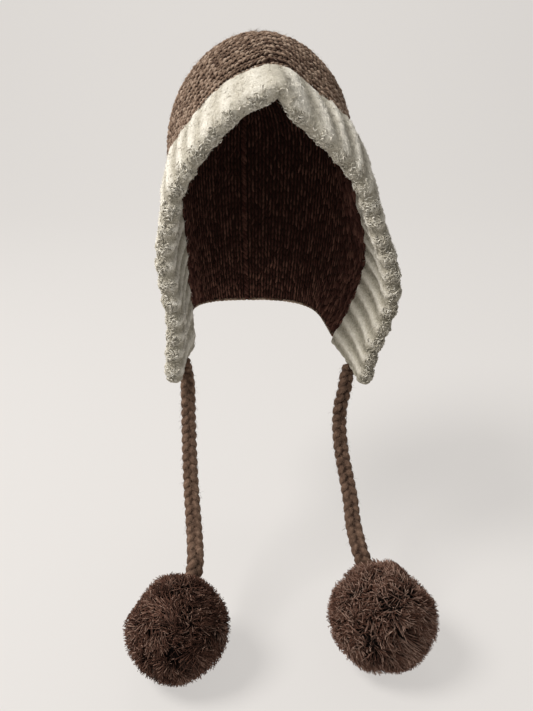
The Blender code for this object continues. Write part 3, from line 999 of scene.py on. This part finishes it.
def makeCuffHairs():
    c = cuffKnit
    rng = np.random.default_rng(c["seed"] + 5)
    places, outs, lays, tints = [], [], [], []
    for side in ("left", "right"):
        count = c["hairCount"] // 2
        along = rng.uniform(0.002, 0.998, count)
        outer = rng.uniform(0, 1, count) < 0.55
        around = np.where(outer, rng.uniform(0.0, 0.42, count), rng.uniform(0.48, 1.0, count))
        place = cuffSkin(side, along, around)
        outward = cuffOutward(side, along, around)
        _, _, forward, _, down = cuffFrame(side, along)
        turn = rng.normal(0, c["hairTurn"], count)[:, None]
        lay = forward * np.cos(turn) + down * np.sin(turn)
        lay = unit(lay - outward * (lay * outward).sum(-1, keepdims=True))
        valley = (ribHeight(side, along) + 1) / 2
        places.append(place)
        outs.append(outward)
        lays.append(lay * rng.choice([-1, 1], count)[:, None])
        # painted shade: a fibre is darker in the rib valleys and towards the tips
        tints.append((valley * 0.7 + rng.uniform(0, 0.5, count) - lowShade(side, along)).clip(0, 1))
    places, outs, lays, tints = (np.concatenate(part) for part in (places, outs, lays, tints))
    return hairs("cuffFibres", places, outs, lays, c["hairSize"], creamFibre, rng, tints)


def makeCuff():
    body = makeCuffBody()
    curls = makeCurls()
    fibres = makeCuffHairs()
    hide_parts("brim_cuff")
    for piece in (body, curls, fibres):
        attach(piece, "root")
    print("cuff made")


# The plaited ties

tieYarn = {
    "diameter": 0.0144,
    "lead": 0.007,
    "seatShare": {"left": 0.62, "right": 0.40},
    "seatDrop": 0.0035,
    "gap": 0.0003,
    "period": 0.0258,
    "loosening": 0.15,
    "fade": {"left": -0.16, "right": 0.0},
    "crossShade": 0.65,
    "underShade": 0.5,
    "swing": 0.0038,
    "depth": 0.0026,
    "strandRadius": 0.0032,
    "pointsPerPeriod": 16,
    "sides": 10,
    "hairs": 900,
    "hairSize": (0.005, 0.0014, 0.00011),
    "hairSeat": (0.0066, 0.0052),  # across the plait and through it
    "hairStray": 0.5,
    "seed": 33,
}


def pompomSeat(side):
    form = pompomForm[side]
    centre = np.array([form["x"], form["y"], form["radius"] - pompomForm["floorDrop"]])
    way = unit(np.array(tieRoute[side][-1]) - centre)
    return centre, way, centre + way * (form["radius"] - pompomForm["seatInset"])


def tiePath(side):
    t = tieYarn
    edge, roll, _, _, down = (part[0] for part in cuffFrame(side, np.array([1.0])))
    start = edge + (roll - edge) * t["seatShare"][side] + down * (t["seatDrop"] + t["gap"])
    _, way, seat = pompomSeat(side)
    end = seat + way * t["gap"]
    lead, landing = start + down * t["lead"], end + way * t["lead"]
    guides = np.array([start, lead, *tieRoute[side], landing, end])
    path = [start]
    for index in range(1, len(guides) - 2):
        p0, p1, p2, p3 = guides[index - 1:index + 3]
        for share in np.linspace(0, 1, 9)[:-1]:
            path.append(0.5 * (2 * p1 + (p2 - p0) * share + (2 * p0 - 5 * p1 + 4 * p2 - p3) * share**2
                               + (3 * p1 - p0 - 3 * p2 + p3) * share**3))
    return np.array([*path, landing, end])


def makeTie(side):
    # three plump strands that swing from side to side and pass over each other in turn
    t = tieYarn
    rng = np.random.default_rng(t["seed"] + sideSign[side])
    path = tiePath(side)
    gone = distanceAlong(path)
    length = gone[-1]
    places = np.linspace(0, length, int(length / t["period"] * t["pointsPerPeriod"]))
    centre = np.stack([np.interp(places, gone, path[:, axis]) for axis in range(3)], -1)
    tangent = unit(np.gradient(centre, axis=0))
    wide = unit(np.cross(tangent, np.array([0.0, 1.0, 0.35])))
    deep = np.cross(tangent, wide)
    # the plait is looser towards the pompom
    loose = 1 + t["loosening"] * places / length
    phases = 2 * math.pi * (places[None, :] / t["period"] + np.arange(3)[:, None] / 3)
    strands = (centre + wide * (t["swing"] * loose * np.sin(phases))[..., None]
               + deep * (t["depth"] * loose * np.sin(2 * phases))[..., None])
    normals = np.broadcast_to(wide, strands.shape)
    radii = t["strandRadius"] * np.broadcast_to(loose, strands.shape[:2])
    tag = side.capitalize()
    # painted shade: a strand is darker where it passes behind the others
    tint = 1.0 - t["crossShade"] * np.abs(np.cos(phases)) ** 4 + t["fade"][side]
    plait = yarnTubes(
        "plaitedTie" + tag, strands, normals, radii, t["sides"], brownPlait, tint, t["underShade"])
    spot = rng.integers(1, len(centre) - 1, t["hairs"])
    angle = rng.uniform(0, 2 * math.pi, t["hairs"])[:, None]
    outward = wide[spot] * np.cos(angle) + deep[spot] * np.sin(angle)
    seatWide, seatDeep = t["hairSeat"]
    squeeze = np.sqrt((seatWide * np.cos(angle)) ** 2 + (seatDeep * np.sin(angle)) ** 2)
    place = centre[spot] + outward * squeeze
    lay = unit(tangent[spot] + rng.normal(0, t["hairStray"], outward.shape))
    fuzz = hairs("tieHairs" + tag, place, outward, lay, t["hairSize"], brownPlait, rng)
    return plait, fuzz, path, length


# The pompoms

pompomPile = {
    "strands": 10400,
    "points": 3,
    "clumps": 520,
    "gather": 0.25,
    "core": 0.77,
    "coreLumps": 0.03,
    "lean": 0.16,
    "sweepSide": (0.38, -0.80, -0.46),
    "sweepSpan": (0.4, 0.5),
    "bend": 1.3,
    "reach": 1.03,
    "floorGap": 0.0006,
    "tintShares": (0.45, 0.55),  # of the clump and of the strand
    "patch": 0.60,
    "trim": 0.965,
    "partingWidth": 0.055,
    "partingPush": 0.11,
    "partingDip": 0.16,
    "rootDepth": 0.05,
    "tipScatter": 0.12,
    "strandShort": 0.055,
    "clumpShort": 0.065,
    "strandRadius": 0.00045,
    "strandTaper": (1.25, 1.1, 0.5),
    "seed": 51,
}


def partingPush(axes, partings):
    # strands beside a parting lean away from it, and those in it are shorter
    p = pompomPile
    push, dip = np.zeros_like(axes), np.zeros(len(axes))
    for line in partings:
        line = np.array(line)
        dense = np.concatenate([
            a + (b - a) * np.linspace(0, 1, 12)[:, None] for a, b in zip(line, line[1:])])
        dense = unit(dense)
        away = axes[:, None, :] - dense[None, :, :]
        distance = np.linalg.norm(away, axis=2)
        nearest = distance.argmin(1)
        rows = np.arange(len(axes))
        strength = np.exp(-(distance[rows, nearest] / p["partingWidth"]) ** 2)
        push += unit(away[rows, nearest]) * (p["partingPush"] * strength)[:, None]
        dip = np.maximum(dip, p["partingDip"] * strength)
    return push, dip


def pressedShare(side, ways):
    # how much of the full reach is left where the pile is pressed flat
    share = np.ones(len(ways))
    for *facing, depth in pompomForm[side]["pressed"]:
        share *= depth / np.maximum(ways @ np.array(facing), depth)
    return share


def makePompom(side):
    p = pompomPile
    rng = np.random.default_rng(p["seed"] + sideSign[side])
    form = pompomForm[side]
    centre = pompomSeat(side)[0]
    radius = form["radius"]
    tag = side.capitalize()
    bpy.ops.mesh.primitive_ico_sphere_add(subdivisions=5, radius=radius * p["core"], location=(0, 0, 0))
    core = bpy.context.object
    core.name = core.data.name = "pompomCore" + tag
    ball = readVertices(core, "co")
    swell = (1 + p["coreLumps"] * softNoise(ball, 0.02, 5)) * pressedShare(side, unit(ball))
    placeVertices(core, ball * swell[:, None] + centre)
    core.data.shade_smooth()
    core.data.materials.append(pileGround)
    order = np.arange(p["clumps"]) + 0.5
    polar = np.arccos(1 - 2 * order / p["clumps"])
    spin = math.pi * (1 + 5**0.5) * order
    clumps = np.stack([np.cos(spin) * np.sin(polar), np.sin(spin) * np.sin(polar), np.cos(polar)], -1)
    clumps = unit(clumps + rng.normal(0, 0.05, clumps.shape))
    root = unit(rng.normal(0, 1, (p["strands"], 3)))
    nearest = (root @ clumps.T).argmax(1)
    drift = np.stack([
        softNoise(root, p["patch"], 11 + axis + 3 * sideSign[side]) for axis in range(3)], -1)
    drift -= root * (drift * root).sum(-1, keepdims=True)
    push, dip = partingPush(root, form["partings"])
    root = unit(root + push * 0.5)
    start, over = p["sweepSpan"]
    swept = clamp((root @ np.array(p["sweepSide"]) - start) / over)[:, None]
    tipWay = root + (clumps[nearest] - root) * p["gather"] + drift * p["lean"] * (1 + swept) + push
    tipWay = tipWay + swept * np.array(form["swept"])
    tipWay = unit(tipWay + rng.normal(0, p["tipScatter"], root.shape))
    short = p["strandShort"] * rng.uniform(0, 1, p["strands"])
    short = short + p["clumpShort"] * rng.uniform(0, 1, p["clumps"])[nearest] + dip
    reach = radius * p["trim"] * (p["reach"] - short) * pressedShare(side, tipWay)
    share = np.linspace(0, 1, p["points"])[None, :, None]
    turned = share ** p["bend"]
    direction = unit(root[:, None, :] * (1 - turned) + tipWay[:, None, :] * turned)
    rootReach = radius * (p["core"] - p["rootDepth"])
    strands = centre + direction * (rootReach * (1 - share) + reach[:, None, None] * share)
    strands[:, :, 2] = np.maximum(strands[:, :, 2], -pompomForm["floorDrop"] + p["floorGap"])
    across = unit(np.cross(root, rng.normal(0, 1, root.shape)))
    normals = np.broadcast_to(across[:, None, :], strands.shape)
    thickness = p["strandRadius"] * rng.uniform(0.75, 1.25, (p["strands"], 1))
    radii = thickness * np.array(p["strandTaper"])[None, :]
    ofClump, ofStrand = p["tintShares"]
    tint = ofClump * rng.uniform(0, 1, p["clumps"])[nearest]
    tint = tint + ofStrand * rng.uniform(0, 1, p["strands"]) + form["fade"]
    pile = yarnTubes("pompomPile" + tag, strands, normals, radii, 3, brownPile, tint)
    for piece in (core, pile):
        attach(piece, "root")
    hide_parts("pompom_" + side)
    return core, pile


def makeTiesAndPompoms():
    for side in ("left", "right"):
        plait, fuzz, path, length = makeTie(side)
        core, pile = makePompom(side)
        for piece in (plait, fuzz):
            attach(piece, "root")
        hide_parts("tie_" + side)
        print("tie", side, "length", round(float(length), 4))


# Studio

studio = {
    "backdrop": "#7c7a78",
    "glowColour": "#e2deda",
    "halfWidth": 5.0,
    "front": -3.0,
    "wallY": 3.2,
    "bend": 1.4,
    "top": 4.0,
    "cameraPlace": (-0.0714, -0.6830, -0.0380),
    "pitch": 22.0,
    "turn": 6.5,
    "roll": 1.1,
    "lens": 34.2,
    "sensor": 36.0,
    "airColour": "#f1efec",
    "airStrength": 0.29,
    "sweepGlow": 0.72,
    "lights": (  # name, place, target, size, watts, colour
        ("keyLight", (-1.25, -0.45, 1.35), (0, -0.05, -0.2), 0.9, 54, (1.0, 0.985, 0.965)),
        ("backdropLight", (0, 1.2, 2.4), (0, 3.2, 0.6), 2.0, 34, (1.0, 0.99, 0.97)),
        ("fillLight", (0.5, -1.8, 0.2), (0, -0.05, -0.25), 1.6, 1.8, (0.97, 0.98, 1.0)),
    ),
}


def paperMaterial():
    # Matt paper sweep that glows a little: pale, without gloss, with soft shadows.
    material = bpy.data.materials.new("paperSweep")
    material.use_nodes = True
    tree = material.node_tree
    shader = tree.nodes["Principled BSDF"]
    place = addNode(tree, "ShaderNodeTexCoord")
    grain = addNode(tree, "ShaderNodeTexNoise", {"Scale": 900.0, "Detail": 2.0},
                    {"Vector": place.outputs["Object"]})
    bump = addNode(tree, "ShaderNodeBump", {"Strength": 0.05, "Distance": 0.0002},
                   {"Height": grain.outputs["Fac"]})
    tree.links.new(bump.outputs[0], shader.inputs["Normal"])
    shader.inputs["Base Color"].default_value = srgb(studio["backdrop"])
    shader.inputs["Emission Color"].default_value = srgb(studio["glowColour"])
    shader.inputs["Emission Strength"].default_value = studio["sweepGlow"]
    shader.inputs["Roughness"].default_value = 0.95
    shader.inputs["Specular IOR Level"].default_value = 0.1
    return material


def sweepPoint(a, b):
    # flat floor, a quarter bend, then the wall
    s = studio
    floorZ = -pompomForm["floorDrop"]
    flatLength = s["wallY"] - s["bend"] - s["front"]
    bendLength = s["bend"] * math.pi / 2
    wallLength = s["top"] - floorZ - s["bend"]
    gone = b * (flatLength + bendLength + wallLength)
    angle = np.clip((gone - flatLength) / s["bend"], 0, math.pi / 2)
    y = s["front"] + np.minimum(gone, flatLength) + s["bend"] * np.sin(angle)
    z = floorZ + s["bend"] * (1 - np.cos(angle)) + np.clip(gone - flatLength - bendLength, 0, None)
    return np.stack([(2 * a - 1) * s["halfWidth"], y, z], -1)


def areaLight(name, place, target, size, power, colour):
    bpy.ops.object.light_add(type="AREA", location=place)
    lamp = bpy.context.object
    lamp.name = name
    lamp.data.shape = "DISK"
    lamp.data.size = size
    lamp.data.energy = power
    lamp.data.color = colour
    lamp.rotation_euler = (Vector(target) - Vector(place)).to_track_quat("-Z", "Y").to_euler()


def makeStudio():
    s = studio
    sweep = gridPiece("studioSweep", 2, 90, sweepPoint, paperMaterial())
    sweep.data.shade_smooth()
    world = bpy.data.worlds.new("studioAir")
    bpy.context.scene.world = world
    world.use_nodes = True
    world.node_tree.nodes["Background"].inputs[0].default_value = srgb(s["airColour"])
    world.node_tree.nodes["Background"].inputs[1].default_value = s["airStrength"]
    for light in s["lights"]:
        areaLight(*light)
    data = bpy.data.cameras.new("photoCamera")
    camera = bpy.data.objects.new("photoCamera", data)
    bpy.context.scene.collection.objects.link(camera)
    data.lens = s["lens"]
    data.sensor_width = s["sensor"]
    pitch, turn, roll = (math.radians(s[key]) for key in ("pitch", "turn", "roll"))
    yawed = Vector((math.sin(turn), math.cos(turn), 0))
    right0 = Vector((math.cos(turn), -math.sin(turn), 0))
    forward = yawed * math.cos(pitch) - Vector((0, 0, 1)) * math.sin(pitch)
    up0 = yawed * math.sin(pitch) + Vector((0, 0, 1)) * math.cos(pitch)
    right = right0 * math.cos(roll) + up0 * math.sin(roll)
    up = up0 * math.cos(roll) - right0 * math.sin(roll)
    matrix = camera.matrix_world.copy()
    for row in range(3):
        matrix[row][0], matrix[row][1], matrix[row][2] = right[row], up[row], -forward[row]
        matrix[row][3] = s["cameraPlace"][row]
    camera.matrix_world = matrix
    bpy.context.scene.camera = camera
    bpy.context.scene.view_settings.view_transform = "Standard"


makeStudio()
makeTiesAndPompoms()
for side in ("left", "right"):
    makePanel(side)
makeCuff()
